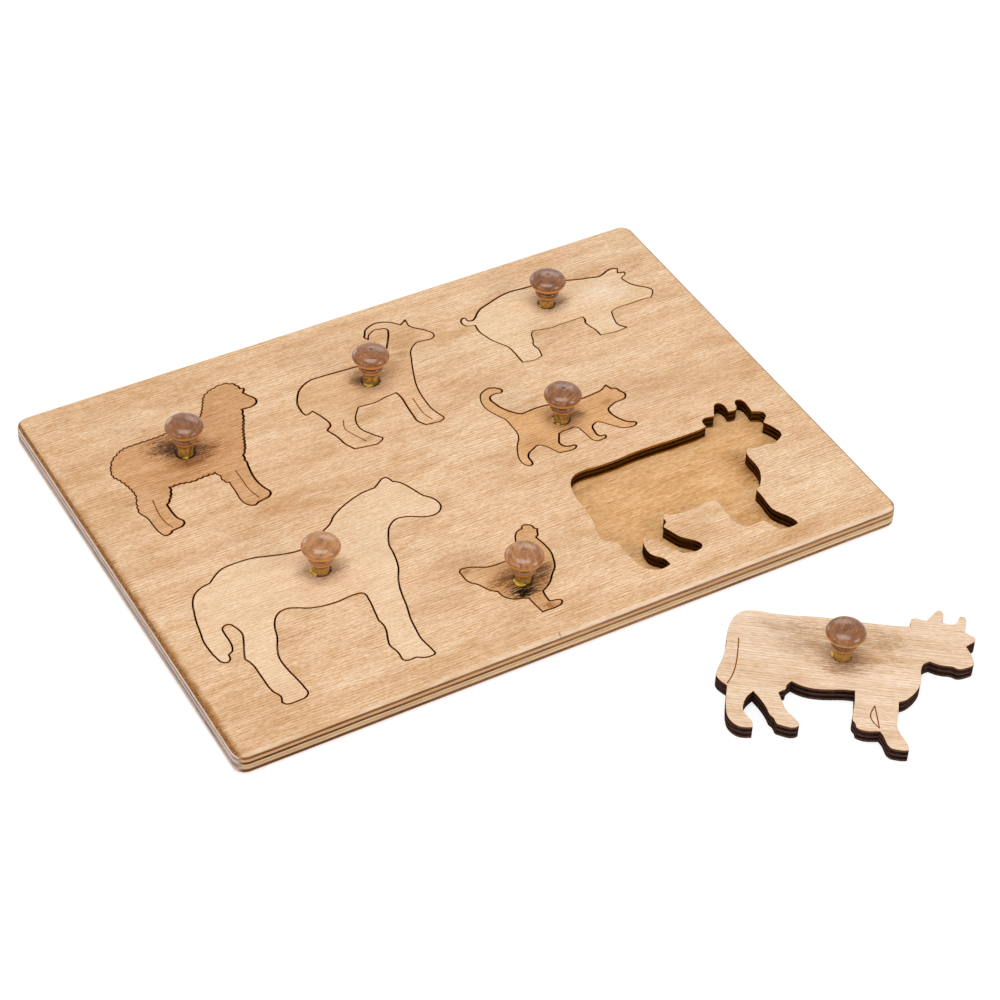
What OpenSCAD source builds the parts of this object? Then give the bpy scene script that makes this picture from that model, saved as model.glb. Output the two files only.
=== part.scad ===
// Farm animal peg puzzle: a two-sheet plywood board, seven cut-out animals and their turned knobs.
// Millimetres, +Z up, origin at the centre of the board's underside. The cow lies in front of the board.

/* [Board] */

// Length of the board, left to right
board_w = 300; // [240:1:360]

// Depth of the board, front to back
board_d = 216; // [170:1:260]

// Thickness of the base sheet
base_t = 4; // [3:0.5:6]

// Thickness of the top sheet and of the animals
sheet_t = 6; // [5:0.5:9]

// Corner radius of the board in plan
corner_r = 5.5; // [4:0.5:12]

// Round-over along the top edge of the board
edge_r = 2.75; // [1:0.25:3.5]

// Round-over along the bottom edge of the board
under_r = 1.5; // [0.5:0.25:2]

/* [Cutting] */

// Width of the cut between an animal and its recess
cut_gap = 0.7; // [0.4:0.05:0.9]

// Pitch of the sheep's wool bumps
wool_pitch = 2.5; // [2:0.25:5]

// Height of the sheep's wool bumps
wool_height = 0.45; // [0.2:0.05:0.6]

// Width of the engraved lines
line_width = 0.5; // [0.3:0.1:1]

// Depth of the engraved lines
line_depth = 0.3; // [0.2:0.1:1]

// Straight steps drawn between two points of a curve
curve_steps = 3; // [2:1:4]

/* [Knobs] */

// Diameter of the knob's cap
cap_d = 16; // [13:0.5:18]

// Height of the knob above its foot
cap_h = 11.5; // [9:0.5:14]

// Diameter of the knob's foot and tenon
foot_d = 6.8; // [5:0.2:8]

// Height of the foot that shows when the tenon is in to its full depth
foot_h = 4.4; // [3:0.2:7]

// How far a tenon in to its full depth stops short of the animal's underside
tenon_short = 0.6; // [0.2:0.1:2]

// Gap all round a tenon in its hole
glue_gap = 0.1; // [0.05:0.05:0.3]

/* [Loose cow] */

// How far the cow lies to the right of the board's middle
cow_right = 84; // [60:1:100]

// How far the cow's middle lies in front of the board
cow_out = 57.8; // [54:0.2:120]

// Turn of the cow on the table
cow_turn = -36; // [-60:1:0]

/* [Hidden] */

$fn = 96;

// The board that the outlines and places below are drawn for. They follow the board when it is made
// larger or smaller.
drawn_w = 300;
drawn_d = 216;
spread_x = board_w / drawn_w;
spread_y = board_d / drawn_d;
fit = min(spread_x, spread_y);

// How far a cutter runs past the face that it cuts through
past = 1;

// Place of each animal's own zero point on the board
sheep_at = [-95, 56];
goat_at = [-5, 62];
pig_at = [88, 72.5];
cat_at = [54, 3];
horse_at = [-79, -33.5];
hen_at = [-9, -73.5];
cow_at = [82, -50];

// How far each animal has slid from the middle of its recess
sheep_slid = [-0.15, 0.15];
goat_slid = [0.1, -0.05];
pig_slid = [0.05, -0.2];
cat_slid = [-0.18, -0.05];
horse_slid = [0, 0];
hen_slid = [-0.05, 0.05];

// Place of each knob in its animal
sheep_knob_at = [0, 0];
goat_knob_at = [-1, 0];
pig_knob_at = [-0.5, 1];
cat_knob_at = [0, 0];
horse_knob_at = [2, 1.5];
hen_knob_at = [0.5, 0];
cow_knob_at = [-2, 0];

// How far each knob stands up from its full depth, as they were glued by hand
sheep_proud = 1.6;
goat_proud = 1.2;
pig_proud = 0.2;
cat_proud = 1;
horse_proud = 0.2;
hen_proud = 0;
cow_proud = 0.6;

// Outlines. Each is a ring of strokes, clockwise. A stroke is a smooth curve through its points, up to
// the first point of the next stroke, where the outline has a corner.

sheep_strokes = [
    [[-32, -25.5], [-31, -20.5], [-29, -15], [-29.5, -8.5], [-31, -3.5], [-32.5, 0], [-32, 3],
        [-30.5, 6.5], [-28.5, 9.5], [-26, 11.5], [-22.5, 13.5], [-18, 14], [-12, 14], [-6.5, 14],
        [-1.5, 14.5], [5, 14.5], [10.5, 15.5], [15, 18], [17.5, 21.5], [19.5, 25], [21.5, 28.5],
        [24, 30.5], [28, 32], [31.5, 32.5], [35, 31.5], [37, 29.5]],
    [[37.5, 26.5], [39, 26]],
    [[37.5, 23.5], [39, 20.5], [40.5, 17.5], [40, 15.5], [38, 14]],
    [[32.5, 14], [30.5, 8.5], [27.5, 2.5], [25, -3.5], [22.5, -9.5], [20.5, -12.5]],
    [[19.5, -18.5], [18.5, -25], [18.5, -30], [19.5, -34.5], [20.5, -37.5], [20, -39]],
    [[13.5, -41], [11.5, -42], [9.5, -41], [8, -38.5], [8, -31]],
    [[8, -25], [6.5, -23], [6.5, -19.5]],
    [[5.5, -17], [0.5, -17], [-5, -17.5], [-10, -16.5]],
    [[-14.5, -16.5], [-15.5, -19.5], [-17.5, -23]],
    [[-20, -25.5], [-20, -30.5], [-19.5, -34.5], [-18, -37.5], [-18.5, -39]],
    [[-24.5, -40.5], [-25.5, -41.5], [-28, -42], [-29.5, -39], [-30, -34.5], [-30.5, -28.5]]];
sheep_wool = [0, 3, 6, 7, 8];
sheep_lines = [
    [[-24, -20.5], [-25, -28], [-25, -34], [-23.5, -39]],
    [[13.5, -19.5], [13.5, -25], [13.5, -32.5], [15, -39]]];

goat_strokes = [
    [[-32, -6.5], [-34, -7.5], [-35.5, -7.5], [-36, -6], [-36, -3], [-35.5, 0.5], [-33.5, 4.5], [-31, 8],
        [-27.5, 10.5], [-23.5, 12], [-19, 12], [-11, 11.5], [-2, 11], [6, 11]],
    [[12, 12], [15.5, 16.5], [18.5, 21], [21, 25.5], [21.5, 27], [20.5, 28.5], [18.5, 29], [16.5, 29.5],
        [14, 28.5], [12.5, 27.5]],
    [[11, 25], [10, 27], [11, 28.5], [12.5, 31], [15, 32.5], [19, 33.5], [23.5, 32], [26.5, 29.5]],
    [[28, 27.5]],
    [[31.5, 29.5]],
    [[31, 25.5], [32, 23.5], [35, 20.5], [37, 18], [38, 16], [37.5, 14], [35.5, 13], [31.5, 13.5],
        [28.5, 13.5], [26, 12], [23.5, 9.5], [21.5, 5], [19.5, 0.5], [17.5, -4.5], [15.5, -10],
        [14, -16.5], [13.5, -23], [13.5, -27.5], [14.5, -32]],
    [[15.5, -35], [15, -36]],
    [[6.5, -36], [5.5, -34.5], [4.5, -32.5], [4.5, -28], [5, -21.5], [5.5, -15]],
    [[5, -12], [0, -12.5], [-5, -13.5], [-9, -13.5]],
    [[-13.5, -13], [-16, -16], [-18, -19], [-19, -22], [-19, -26], [-17, -30], [-15, -33]],
    [[-13.5, -35], [-14, -36]],
    [[-27, -36], [-28, -34], [-29, -32], [-30, -26]],
    [[-32, -20.5], [-31, -19.5], [-29.5, -18.5], [-29, -17], [-29.5, -13.5], [-30.5, -10]]];
goat_lines = [
    [[-23, -17.5], [-25, -23], [-23.5, -27.5], [-20.5, -34]],
    [[9.5, -18.5], [9, -25.5], [9, -29.5], [10.5, -34]]];

pig_strokes = [
    [[-36, 2], [-38, 2.5], [-39.5, 3], [-40.5, 5.5], [-40, 7.5], [-39.5, 8], [-38, 8.5], [-37.5, 8],
        [-37.5, 6.5], [-36.5, 5.5], [-35, 5.5], [-33.5, 6.5], [-31, 9], [-28, 11], [-23.5, 12.5],
        [-19, 14], [-15, 15], [-10.5, 15.5], [-5.5, 15], [0, 14.5], [8, 13], [16, 11], [22, 9],
        [26, 8], [30, 7], [32.5, 7.5], [36, 9], [39, 9]],
    [[40.5, 8]],
    [[39, 5.5]],
    [[42, 4.5], [41.5, 3], [39.5, 2], [38.5, 1], [39, -1], [40, -4], [42.5, -7], [45.5, -10], [46.5, -12],
        [45.5, -14]],
    [[43, -16.5], [40, -16], [32, -16], [25.5, -16], [22.5, -17], [21.5, -19], [20.5, -22.5], [20, -25.5]],
    [[20.5, -27]],
    [[22.5, -29.5], [17.5, -30], [13.5, -29.5]],
    [[9.5, -29], [9.5, -25], [8.5, -21.5], [8, -18.5], [9, -16.5]],
    [[9, -14.5], [3.5, -14.5], [-2.5, -14.5], [-9, -14.5], [-12.5, -13.5]],
    [[-15.5, -13], [-17, -14.5], [-18.5, -18.5], [-20, -21.5], [-19.5, -24.5], [-20, -28]],
    [[-20.5, -29.5], [-24, -30.5], [-27.5, -30]],
    [[-30, -29.5], [-30, -25], [-30, -21], [-30.5, -17.5], [-32.5, -14], [-34.5, -10.5], [-35.5, -7],
        [-36.5, -3]]];

cat_strokes = [
    [[-4, -16.5], [-3, -17.5], [-4, -18.5], [-6.5, -19], [-9.5, -18.5], [-11.5, -18], [-12.5, -16],
        [-14, -13], [-15.5, -11], [-17, -10], [-20, -11], [-23, -12.5], [-24.5, -15], [-24.5, -17.5],
        [-25, -19], [-26.5, -19.5], [-28, -18], [-28.5, -16], [-28, -12.5], [-26.5, -9], [-24.5, -5.5],
        [-22.5, -3], [-21.5, -1], [-21, 1], [-21, 6], [-21, 10], [-22.5, 13.5], [-24, 17], [-25, 20.5],
        [-25, 23.5], [-24, 27], [-22.5, 29.5], [-20, 31], [-17.5, 31.5], [-15, 30.5], [-13.5, 29],
        [-13, 28], [-13.5, 27], [-14.5, 26.5], [-16, 27], [-18, 27], [-19.5, 26.5], [-20.5, 24.5],
        [-20, 21.5], [-19, 18], [-17, 14.5], [-15, 12]],
    [[-13, 10.5], [-7.5, 11], [-3.5, 11], [0, 10.5], [8, 9], [15, 7.5], [21, 8], [24.5, 8.5], [26.5, 9.5]],
    [[28, 10.5]],
    [[29, 7.5], [31, 6.5], [31.5, 4.5], [32.5, 2], [32, 0.5], [31, -0.5], [28.5, -1], [26.5, -1],
        [23.5, -2], [21, -3.5], [20.5, -5.5], [21, -8.5], [22.5, -12], [24.5, -14.5], [26.5, -15.5],
        [27, -16.5], [26, -17.5], [22.5, -17.5], [20, -16.5], [18.5, -15], [16, -12], [14, -9.5],
        [12.5, -8.5], [10.5, -9], [9, -10.5], [8.5, -13], [8.5, -16], [9.5, -17],
        [11.1, -17.2], [11, -18.4], [8.5, -19], [6.5, -19], [5, -17.5], [4.5, -14.5], [4, -11],
        [3.5, -8], [2.5, -7], [-0.5, -7], [-3.5, -7]],
    [[-5.5, -7.5], [-7, -10], [-8.5, -13], [-7.5, -15.5], [-5.5, -16.5]]];

horse_strokes = [
    [[-50.5, -24], [-51, -26.5], [-52.5, -27.5], [-54, -27], [-55.5, -23], [-56, -18.5], [-56, -13],
        [-55, -8], [-54, -2.5], [-52.5, 3], [-51, 7.5], [-48, 12], [-44.5, 14]],
    [[-40, 15], [-37, 17.5], [-32.5, 20], [-28, 20.5], [-24.5, 20.5], [-19, 20], [-12.5, 18], [-7.5, 16.5],
        [-2.5, 15.5], [1, 15.5], [6.5, 17.5], [12.5, 21], [17, 23.5], [20.5, 27], [24.5, 29.5], [30, 32],
        [36.5, 34], [41, 34.5]],
    [[43, 34.5], [46, 36.5], [48.5, 38], [50, 38], [51, 36.5]],
    [[51.5, 34.5], [53, 33.5], [55, 30.5], [57, 25.5], [58.5, 21.5], [61, 18.5], [62, 16], [62, 12.5],
        [60, 10], [56.5, 9], [52.5, 10], [49, 12], [45.5, 13.5], [42.5, 14], [40, 13], [37.5, 11], [35, 7],
        [32.5, 1.5], [32, -2.5], [31, -7.5], [29.5, -12], [27, -16.5], [25.5, -20], [24, -25], [22.5, -32],
        [20.5, -39], [19.5, -45.5], [19, -50.5], [19.5, -54.5], [20, -58], [20, -60], [17.5, -60.5],
        [15, -60], [12.5, -58.5], [9, -58.5], [7.5, -57.5], [7.5, -54.5], [7.5, -52.5], [6.5, -48],
        [7.5, -44.5], [9, -40.5], [9.5, -37.5]],
    [[9, -34], [10, -28.5], [11, -22], [11, -18.5], [10, -17.5], [7, -17], [0, -17.5], [-6.5, -17],
        [-12, -15.5], [-16.5, -13], [-19, -12], [-22.5, -12], [-25.5, -14], [-28, -18], [-30, -24.5],
        [-32.5, -29.5], [-34, -34], [-34, -41], [-33, -48], [-32.5, -53], [-32.5, -56], [-34, -57.5],
        [-38, -58], [-42.5, -57.5]],
    [[-43.5, -56], [-42.5, -53], [-44, -49.5], [-44.5, -41], [-45, -31.5]],
    [[-46, -29], [-44.5, -25], [-42.5, -20.5], [-41, -16], [-42, -11.5], [-43, -9.5], [-44.5, -9],
        [-46.5, -10], [-47, -13], [-47, -17.5], [-47.5, -21], [-48.5, -23]]];

hen_strokes = [
    [[-12, -1.5], [-14, 0], [-15.5, 2.5], [-17, 5.5], [-19.5, 8.5], [-20, 11], [-20, 13.5], [-20, 15],
        [-19, 16], [-17.5, 16], [-15, 15.5], [-12, 14], [-9, 12.5], [-6, 12], [-2.5, 12], [-1, 12],
        [3, 12.5], [6.5, 15.5], [8.5, 20], [10, 23], [12, 25]],
    [[14.5, 25.5], [15, 26.5], [16, 27], [17.5, 26.5], [19, 25]],
    [[19, 23.5]],
    [[20, 22.5], [19, 21], [18.5, 19.5]],
    [[17, 18.5], [17.5, 16], [18, 12.5], [18, 8], [17, 4.5], [15, 0], [12, -3], [9, -6.5], [6, -8.5]],
    [[4, -9.5], [3.5, -13]],
    [[3.5, -15.5], [5, -16], [7, -16.5], [8, -17.5], [7, -19], [5.5, -19.5]],
    [[-2, -19.5], [-2.5, -15.5]],
    [[-3, -10.5], [-5, -9.5], [-8, -8.5], [-10, -7], [-11.5, -4.5]]];

cow_strokes = [
    [[-46, -22.5], [-48, -21], [-49.5, -19.5], [-50.5, -17.5], [-50, -13.5], [-48.5, -8], [-47.5, -0.5],
        [-47.5, 6], [-46.5, 12], [-45, 16], [-43, 18.5], [-40.5, 20], [-37.5, 20.5], [-29, 20], [-20.5, 20],
        [-12.5, 20.5], [-5, 20.5], [7.5, 20], [13, 20], [19.5, 20]],
    [[24, 20.5], [24, 23], [24.5, 24.5], [26.5, 25.5], [28.5, 25]],
    [[30.5, 24.5], [32, 27], [34, 30], [35, 31], [36.5, 31], [37.5, 29.5], [37.5, 26.5]],
    [[37, 24.5], [39, 24], [41, 24], [42.5, 25.5], [43, 27.5], [44, 29], [45.5, 29], [46.5, 27.5],
        [46.5, 24]],
    [[46, 20], [48, 19], [50, 17.5], [50, 15.5], [48, 13.5]],
    [[46.5, 12], [48, 9], [49, 6], [49.5, 4], [49, 2], [47, 0.5], [43, -1], [40.5, 0], [37.5, 0],
        [34.5, 0.5]],
    [[32, 1.5], [30, 0], [29, -3], [29, -7.5], [28.5, -12], [27, -15.5], [25, -18.5], [22.5, -21]],
    [[20.5, -22], [20.5, -26.5], [20, -31.5], [20, -35], [21.5, -38.5], [23.5, -42], [24.5, -45],
        [24.5, -46.5], [23, -47], [20, -47], [17.5, -46.5], [16, -45], [15, -42.5], [14, -40]],
    [[13, -38.5], [7.5, -39], [5.5, -38.5], [4, -37.5], [3.5, -35.5], [2.5, -34], [2.5, -30], [3, -24]],
    [[3, -18.5], [-0.5, -18.5], [-8, -19.5], [-14, -19.5], [-18, -18.5]],
    [[-21, -17], [-22.5, -19], [-23, -21.5], [-24.5, -22.5]],
    [[-25.5, -23.5], [-24, -27.5], [-22.5, -31.5], [-19.5, -35], [-17.5, -37.5], [-17, -39.5],
        [-18.5, -41], [-24.5, -40.5], [-26, -40], [-27.5, -37], [-29, -35.5], [-30, -33], [-32.5, -28.5]],
    [[-35.5, -24.5], [-37.5, -27.5], [-38.5, -31], [-38.5, -34.5], [-37.5, -36.5], [-35, -39.5],
        [-34.5, -42], [-34.5, -43], [-36, -43.5], [-40, -43.5], [-42.5, -42], [-44.5, -39.5],
        [-45.5, -36.5], [-46, -31]]];
cow_lines = [
    [[-42.5, 4], [-42.5, -4], [-43, -12], [-44, -17], [-45.7, -21.4]],
    [[11, -25], [9.5, -31], [10.5, -33.5], [13, -36.5]],
    [[11, -25], [12, -30.5], [13, -36.5]]];

function unit(v) = v / norm(v);

// Left-hand normal of a direction
function left(v) = [-v[1], v[0]];

// Direction of a curve at point i, weighted by the lengths of the two chords that meet there
function heading(p, i) =
    i == 0 ? unit(p[1] - p[0]) :
    i == len(p) - 1 ? unit(p[i] - p[i - 1]) :
    let (a = norm(p[i] - p[i - 1]), b = norm(p[i + 1] - p[i]))
    (b * unit(p[i] - p[i - 1]) + a * unit(p[i + 1] - p[i])) / (a + b);

// Point at t on the cubic between points i and i + 1
function between(p, i, t) =
    let (d = norm(p[i + 1] - p[i]), s = t * t * (3 - 2 * t))
    (1 - s) * p[i] + s * p[i + 1]
    + d * t * (1 - t) * ((1 - t) * heading(p, i) - t * heading(p, i + 1));

// A smooth curve without its last point; two points make a straight line
function smooth(p) =
    len(p) == 2 ? [p[0]] :
    [for (i = [0:len(p) - 2]) for (k = [0:curve_steps - 1]) between(p, i, k / curve_steps)];

// The same curve with wool bumps on its left
function woolly(p) =
    [for (i = [0:len(p) - 2])
        let (n = max(1, round(norm(p[i + 1] - p[i]) / wool_pitch)))
        for (k = [0:3 * n - 1])
            let (t = k / (3 * n), out = unit(left((1 - t) * heading(p, i) + t * heading(p, i + 1))))
            between(p, i, t) + (k % 3 == 0 ? -0.5 : 0.5) * wool_height * out];

// The ring of points of an outline, at the size of this board
function ring(strokes, wool = []) =
    [for (s = [0:len(strokes) - 1])
        let (p = fit * concat(strokes[s], [strokes[(s + 1) % len(strokes)][0]]))
        each (len(search(s, wool)) > 0 ? woolly(p) : smooth(p))];

// A ring moved out by d, square to its sides
function grown(p, d) =
    [for (i = [0:len(p) - 1])
        let (a = left(unit(p[i] - p[(i + len(p) - 1) % len(p)])), b = left(unit(p[(i + 1) % len(p)] - p[i])))
        p[i] + d * (a + b) / max(0.4, 1 + a * b)];

// Normals along an open line
function side(p, i) =
    let (n = len(p) - 1)
    left(unit(p[min(i + 1, n)] - p[max(i - 1, 0)]));

// The outline of an engraved line
function groove(p) =
    let (q = concat(smooth(p), [p[len(p) - 1]]), n = len(q) - 1, w = line_width / 2)
    concat([for (i = [0:n]) q[i] + w * side(q, i)], [for (i = [n:-1:0]) q[i] - w * side(q, i)]);

sheep_ring = ring(sheep_strokes, sheep_wool);
goat_ring = ring(goat_strokes);
pig_ring = ring(pig_strokes);
cat_ring = ring(cat_strokes);
horse_ring = ring(horse_strokes);
hen_ring = ring(hen_strokes);
cow_ring = ring(cow_strokes);

function on_board(at) = [at[0] * spread_x, at[1] * spread_y];

// The knob's side from the top of the foot to the top of the cap, as radius and height
tenon_h = sheet_t - tenon_short;
cap_r = cap_d / 2;
foot_r = foot_d / 2;
bead_r = 0.65 * cap_r;
bead_end_r = 0.61 * cap_r;
neck_r = 0.54 * cap_r;
knob_side = [
    [foot_r, foot_h], [(foot_r + bead_r) / 2, foot_h + 0.03 * cap_h], [bead_end_r, foot_h + 0.1 * cap_h],
    [bead_r, foot_h + 0.2 * cap_h], [bead_end_r, foot_h + 0.3 * cap_h], [neck_r, foot_h + 0.35 * cap_h],
    [0.68 * cap_r, foot_h + 0.42 * cap_h], [0.88 * cap_r, foot_h + 0.52 * cap_h],
    [0.98 * cap_r, foot_h + 0.62 * cap_h], [cap_r, foot_h + 0.7 * cap_h],
    [0.95 * cap_r, foot_h + 0.8 * cap_h], [0.8 * cap_r, foot_h + 0.9 * cap_h],
    [0.52 * cap_r, foot_h + 0.97 * cap_h], [0, foot_h + cap_h]];

// Section of a sheet's rim, from the corner's centre outwards, with the top edge rounded
module rim_section(thick, round_r) {
    square([corner_r - round_r, thick]);
    square([corner_r, thick - round_r]);
    intersection() {
        square([corner_r, thick]);
        translate([corner_r - round_r, thick - round_r])
            circle(round_r);
    }
}

// One straight side of the rim, along X
module rim_side(length, thick, round_r) {
    rotate([90, 0, 90])
        linear_extrude(length, center = true)
            rim_section(thick, round_r);
}

// A whole sheet of the board, underside at z = 0, with its top edge rounded
module sheet(thick, round_r) {
    inner_w = board_w - 2 * corner_r;
    inner_d = board_d - 2 * corner_r;
    translate([-inner_w / 2, -inner_d / 2, 0])
        cube([inner_w, inner_d, thick]);
    for (turn = [0, 180]) {
        rotate(turn)
            translate([0, inner_d / 2, 0])
                rim_side(inner_w, thick, round_r);
        rotate(turn - 90)
            translate([0, inner_w / 2, 0])
                rim_side(inner_d, thick, round_r);
        rotate(turn) {
            translate([inner_w / 2, inner_d / 2, 0])
                rotate_extrude(angle = 90)
                    rim_section(thick, round_r);
            translate([-inner_w / 2, inner_d / 2, 0])
                rotate(90)
                    rotate_extrude(angle = 90)
                        rim_section(thick, round_r);
        }
    }
}

module recess(points, at) {
    translate([on_board(at)[0], on_board(at)[1], -past])
        linear_extrude(sheet_t + 2 * past)
            polygon(grown(points, cut_gap / 2));
}

// An animal at its own zero point, underside at z = 0
module animal(points, knob_at, lines = []) {
    difference() {
        linear_extrude(sheet_t)
            polygon(grown(points, -cut_gap / 2));
        translate([fit * knob_at[0], fit * knob_at[1], -past])
            cylinder(h = sheet_t + 2 * past, r = foot_r + glue_gap);
        for (p = lines)
            translate([0, 0, sheet_t - line_depth])
                linear_extrude(line_depth + past)
                    polygon(groove(fit * p));
    }
}

// A turned knob, with z = 0 at the animal's face
module knob() {
    rotate_extrude()
        polygon(concat([[0, -tenon_h], [foot_r, -tenon_h]], smooth(knob_side), [[0, foot_h + cap_h]]));
}

module in_recess(at, slid) {
    translate([on_board(at)[0] + slid[0], on_board(at)[1] + slid[1], base_t])
        children();
}

module on_animal(knob_at, proud) {
    translate([fit * knob_at[0], fit * knob_at[1], sheet_t + proud])
        children();
}

module on_table() {
    translate([cow_right * spread_x, -board_d / 2 - cow_out, 0])
        rotate(cow_turn)
            children();
}

module base_panel() {
    color("burlywood")
        translate([0, 0, base_t])
            mirror([0, 0, 1])
                sheet(base_t, under_r);
}

module frame_panel() {
    color("tan")
        translate([0, 0, base_t])
            difference() {
                sheet(sheet_t, edge_r);
                recess(sheep_ring, sheep_at);
                recess(goat_ring, goat_at);
                recess(pig_ring, pig_at);
                recess(cat_ring, cat_at);
                recess(horse_ring, horse_at);
                recess(hen_ring, hen_at);
                recess(cow_ring, cow_at);
            }
}

module sheep() {
    color("peru")
        in_recess(sheep_at, sheep_slid)
            animal(sheep_ring, sheep_knob_at, sheep_lines);
}

module goat() {
    color("burlywood")
        in_recess(goat_at, goat_slid)
            animal(goat_ring, goat_knob_at, goat_lines);
}

module pig() {
    color("wheat")
        in_recess(pig_at, pig_slid)
            animal(pig_ring, pig_knob_at);
}

module cat() {
    color("peru")
        in_recess(cat_at, cat_slid)
            animal(cat_ring, cat_knob_at);
}

module horse() {
    color("wheat")
        in_recess(horse_at, horse_slid)
            animal(horse_ring, horse_knob_at);
}

module hen() {
    color("tan")
        in_recess(hen_at, hen_slid)
            animal(hen_ring, hen_knob_at);
}

module cow() {
    color("wheat")
        on_table()
            animal(cow_ring, cow_knob_at, cow_lines);
}

module sheep_knob() {
    color("sienna")
        in_recess(sheep_at, sheep_slid)
            on_animal(sheep_knob_at, sheep_proud)
                knob();
}

module goat_knob() {
    color("sienna")
        in_recess(goat_at, goat_slid)
            on_animal(goat_knob_at, goat_proud)
                knob();
}

module pig_knob() {
    color("sienna")
        in_recess(pig_at, pig_slid)
            on_animal(pig_knob_at, pig_proud)
                knob();
}

module cat_knob() {
    color("sienna")
        in_recess(cat_at, cat_slid)
            on_animal(cat_knob_at, cat_proud)
                knob();
}

module horse_knob() {
    color("sienna")
        in_recess(horse_at, horse_slid)
            on_animal(horse_knob_at, horse_proud)
                knob();
}

module hen_knob() {
    color("sienna")
        in_recess(hen_at, hen_slid)
            on_animal(hen_knob_at, hen_proud)
                knob();
}

module cow_knob() {
    color("sienna")
        on_table()
            on_animal(cow_knob_at, cow_proud)
                knob();
}

base_panel();
frame_panel();
sheep();
goat();
pig();
cat();
horse();
hen();
cow();
sheep_knob();
goat_knob();
pig_knob();
cat_knob();
horse_knob();
hen_knob();
cow_knob();
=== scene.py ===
import math

import bmesh
import bpy
from mathutils import Matrix, Vector


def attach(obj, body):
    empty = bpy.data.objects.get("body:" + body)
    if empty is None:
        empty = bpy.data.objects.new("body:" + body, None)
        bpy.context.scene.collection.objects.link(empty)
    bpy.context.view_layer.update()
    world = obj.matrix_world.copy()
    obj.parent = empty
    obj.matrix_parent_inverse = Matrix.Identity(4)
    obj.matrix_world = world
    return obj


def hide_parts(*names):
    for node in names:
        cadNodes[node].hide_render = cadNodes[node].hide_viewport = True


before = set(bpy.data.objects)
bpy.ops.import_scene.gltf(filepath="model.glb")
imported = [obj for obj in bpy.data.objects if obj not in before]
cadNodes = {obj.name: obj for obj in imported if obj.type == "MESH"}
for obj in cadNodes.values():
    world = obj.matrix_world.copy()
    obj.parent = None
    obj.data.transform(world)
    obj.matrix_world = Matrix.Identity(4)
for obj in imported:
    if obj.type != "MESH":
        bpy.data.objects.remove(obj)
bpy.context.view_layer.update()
scene = bpy.context.scene
mm = 0.001

print("frame loaded:", len(cadNodes), "nodes")

# Small helpers for shader nodes

mixSockets = {"first": 6, "second": 7, "result": 2}  # the colour ones of the Mix node
darkestTint = 0.12
seedWay = (1.0, 1.7, 0.6)  # the way that a seed moves a pattern


def addNode(tree, kind, sockets=None, **settings):
    node = tree.nodes.new(kind)
    for key, value in settings.items():
        setattr(node, key, value)
    for key, value in (sockets or {}).items():
        if isinstance(value, bpy.types.NodeSocket):
            tree.links.new(value, node.inputs[key])
        else:
            node.inputs[key].default_value = value
    return node


def calc(tree, operation, a, b=0.0, c=0.0, clamp=False):
    sockets = {0: a, 1: b, 2: c}
    return addNode(tree, "ShaderNodeMath", sockets, operation=operation, use_clamp=clamp).outputs[0]


def product(tree, *factors):
    result = factors[0]
    for factor in factors[1:]:
        result = calc(tree, "MULTIPLY", result, factor)
    return result


def swing(tree, noise, strength):
    # noise taken about its middle, so that its mean is nought
    return calc(tree, "MULTIPLY_ADD", noise, strength, -0.5 * strength)


def calcVector(tree, operation, a, b=(0, 0, 0)):
    node = addNode(tree, "ShaderNodeVectorMath", {0: a, 1: b}, operation=operation)
    return node.outputs["Value" if operation == "LENGTH" else "Vector"]


def splitXyz(tree, vector):
    return addNode(tree, "ShaderNodeSeparateXYZ", {0: vector}).outputs


def flatLength(tree, vector):
    return calcVector(tree, "LENGTH", calcVector(tree, "MULTIPLY", vector, (1, 1, 0)))


def blendColour(tree, factor, a, b, blend="MIX"):
    sockets = {0: factor}
    for key, value in ((mixSockets["first"], a), (mixSockets["second"], b)):
        sockets[key] = value if isinstance(value, bpy.types.NodeSocket) else (*value, 1)
    node = addNode(tree, "ShaderNodeMix", sockets, data_type="RGBA", blend_type=blend)
    return node.outputs[mixSockets["result"]]


def tintColour(tree, colour, value, strength):
    # each channel gets brighter or darker by its own strength
    shares = [calc(tree, "MULTIPLY_ADD", value, s, 1.0) for s in strength]
    shares = [calc(tree, "MAXIMUM", share, darkestTint) for share in shares]
    tint = addNode(tree, "ShaderNodeCombineColor", dict(enumerate(shares))).outputs[0]
    return blendColour(tree, 1.0, colour, tint, "MULTIPLY")


def fade(tree, value, low, high, outLow=0.0, outHigh=1.0):
    sockets = {"Value": value, "From Min": low, "From Max": high, "To Min": outLow, "To Max": outHigh}
    return addNode(tree, "ShaderNodeMapRange", sockets, interpolation_type="SMOOTHSTEP").outputs["Result"]


def band(tree, value, rise, fall):
    return product(tree, fade(tree, value, *rise), fade(tree, value, *fall))


def rampColour(tree, value, stops, interpolation="LINEAR"):
    node = addNode(tree, "ShaderNodeValToRGB", {0: value})
    node.color_ramp.interpolation = interpolation
    elements = node.color_ramp.elements
    while len(elements) < len(stops):
        elements.new(0.5)
    for element, (place, colour) in zip(elements, stops):
        element.position = place
        element.color = (*colour, 1)
    return node.outputs[0]


def noiseLayer(size, shift, detail=3.0, rough=0.55, warp=0.0):
    # size: how long one feature is along each axis, in millimetres
    return {"size": size, "shift": shift, "detail": detail, "rough": rough, "warp": warp}


def addNoise(tree, place, seed, layer):
    scaled = calcVector(tree, "MULTIPLY", place, tuple(1 / s for s in layer["size"]))
    moved = calcVector(tree, "ADD", scaled, tuple((seed + layer["shift"]) * way for way in seedWay))
    sockets = {"Vector": moved, "Scale": 1.0, "Detail": layer["detail"],
               "Roughness": layer["rough"], "Distortion": layer["warp"]}
    return addNode(tree, "ShaderNodeTexNoise", sockets).outputs[0]


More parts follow.
